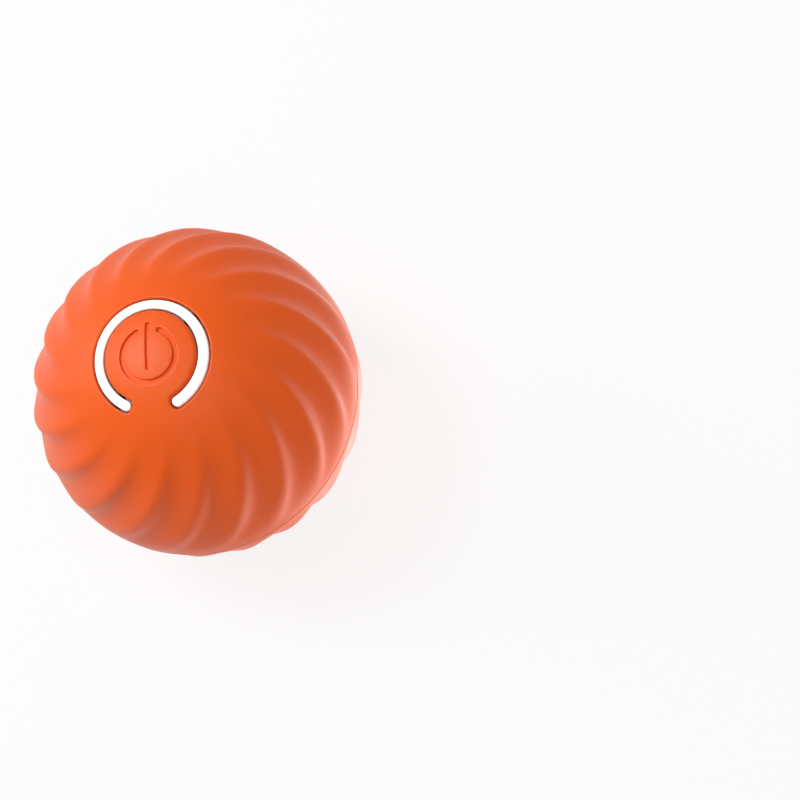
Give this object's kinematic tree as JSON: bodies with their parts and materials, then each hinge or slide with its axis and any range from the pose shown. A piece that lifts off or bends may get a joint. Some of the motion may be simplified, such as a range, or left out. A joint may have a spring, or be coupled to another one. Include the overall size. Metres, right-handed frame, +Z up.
{
  "type": "automatic rolling dog ball",
  "caption": "Self-rolling pet ball with curved ribs, a soft power button in a C-shaped light ring, and a motor-driven eccentric weight inside.",
  "frame": {"origin": "the middle of the flat round the charging socket, on the surface that the ball stands on", "axes": "+Z up through the poles to the power button, +Y towards the top of the power symbol, +X to its right"},
  "size_m": [0.0498, 0.0498, 0.0484],
  "materials": {
    "soft_orange": "matte moulded soft rubber, orange",
    "light_guide": "translucent white light guide",
    "shell_plastic": "pale moulded shell plastic",
    "frame_plastic": "dark moulded frame plastic",
    "gear_plastic": "natural white gear plastic",
    "bright_steel": "bright turned steel",
    "weight_metal": "grey cast metal, plain",
    "circuit_board": "green glass-fibre board with solder mask",
    "black_plastic": "black moulded component plastic",
    "cell_wrap": "cell can in blue shrink wrap",
    "strap_fabric": "black woven tape",
    "cable_sheath": "grey flat cable",
    "soft_black": "soft black rubber"
  },
  "bodies": {
    "ball": {"front_skin": "soft_orange", "rear_skin": "soft_orange", "light_ring": "light_guide", "led_1": "light_guide", "led_2": "light_guide", "led_3": "light_guide", "led_4": "light_guide", "front_shell": "shell_plastic", "rear_shell": "shell_plastic", "main_frame": "frame_plastic", "gear_cover": "frame_plastic", "board_connector": "gear_plastic", "motor_can": "bright_steel", "main_axle": "bright_steel", "axle_clip": "bright_steel", "first_gear_pin": "bright_steel", "second_gear_pin": "bright_steel", "vibration_sensor": "bright_steel", "charge_port": "bright_steel", "board_screw_1": "bright_steel", "board_screw_2": "bright_steel", "board_screw_3": "bright_steel", "cover_screw_1": "bright_steel", "cover_screw_2": "bright_steel", "cover_screw_3": "bright_steel", "shell_screw_1": "bright_steel", "shell_screw_2": "bright_steel", "shell_screw_3": "bright_steel", "charge_screw_1": "bright_steel", "charge_screw_2": "bright_steel", "control_board": "circuit_board", "charge_board": "circuit_board", "main_chip": "black_plastic", "motor_end_cap": "black_plastic", "switch_body": "black_plastic", "battery": "cell_wrap", "battery_strap": "strap_fabric", "wire_harness": "cable_sheath", "seal_ring": "soft_black"},
    "button": {"power_button": "soft_orange", "button_plunger": "gear_plastic"},
    "switch_key": {"switch_stem": "gear_plastic"},
    "weight": {"eccentric_weight": "weight_metal", "output_gear": "gear_plastic", "weight_screw_1": "bright_steel", "weight_screw_2": "bright_steel"},
    "second_stage": {"second_gear": "gear_plastic"},
    "first_stage": {"first_gear": "gear_plastic"},
    "rotor": {"drive_pinion": "bright_steel", "motor_shaft": "bright_steel"},
    "plug": {"port_plug": "soft_black"}
  },
  "joints": [
    {"name": "button_tilt", "type": "hinge", "parent": "ball", "child": "button", "pos_m": [-0.00015, -0.0087, 0.0462], "axis": [-0.9998, 0.0175, 0], "range_deg": [0, 2], "stiffness_Nm_per_rad": 0.4, "springref_deg": -0.57},
    {"name": "switch_press", "type": "slide", "parent": "ball", "child": "switch_key", "axis": [0, 0, -1], "range_m": [0, 0.0003]},
    {"name": "weight_spin", "type": "hinge", "parent": "ball", "child": "weight", "pos_m": [0, 0, 0.0139], "axis": [0, 0, 1], "continuous": true},
    {"name": "second_gear_spin", "type": "hinge", "parent": "ball", "child": "second_stage", "pos_m": [0.0096, 0, 0.0199], "axis": [0, 0, 1], "continuous": true},
    {"name": "first_gear_spin", "type": "hinge", "parent": "ball", "child": "first_stage", "pos_m": [0.0048, 0.00831, 0.0199], "axis": [0, 0, 1], "continuous": true},
    {"name": "motor_spin", "type": "hinge", "parent": "ball", "child": "rotor", "pos_m": [-0.0048, 0.00831, 0.0199], "axis": [0, 0, 1], "continuous": true},
    {"name": "plug_pull", "type": "slide", "parent": "ball", "child": "plug", "axis": [0, 0, -1], "range_m": [0, 0.004]}
  ],
  "couplings": [
    {"joint": "switch_press", "follows": "button_tilt", "m_per_rad": 0.0085},
    {"joint": "second_gear_spin", "follows": "weight_spin", "ratio": -3},
    {"joint": "first_gear_spin", "follows": "weight_spin", "ratio": 9},
    {"joint": "motor_spin", "follows": "weight_spin", "ratio": -27}
  ]
}
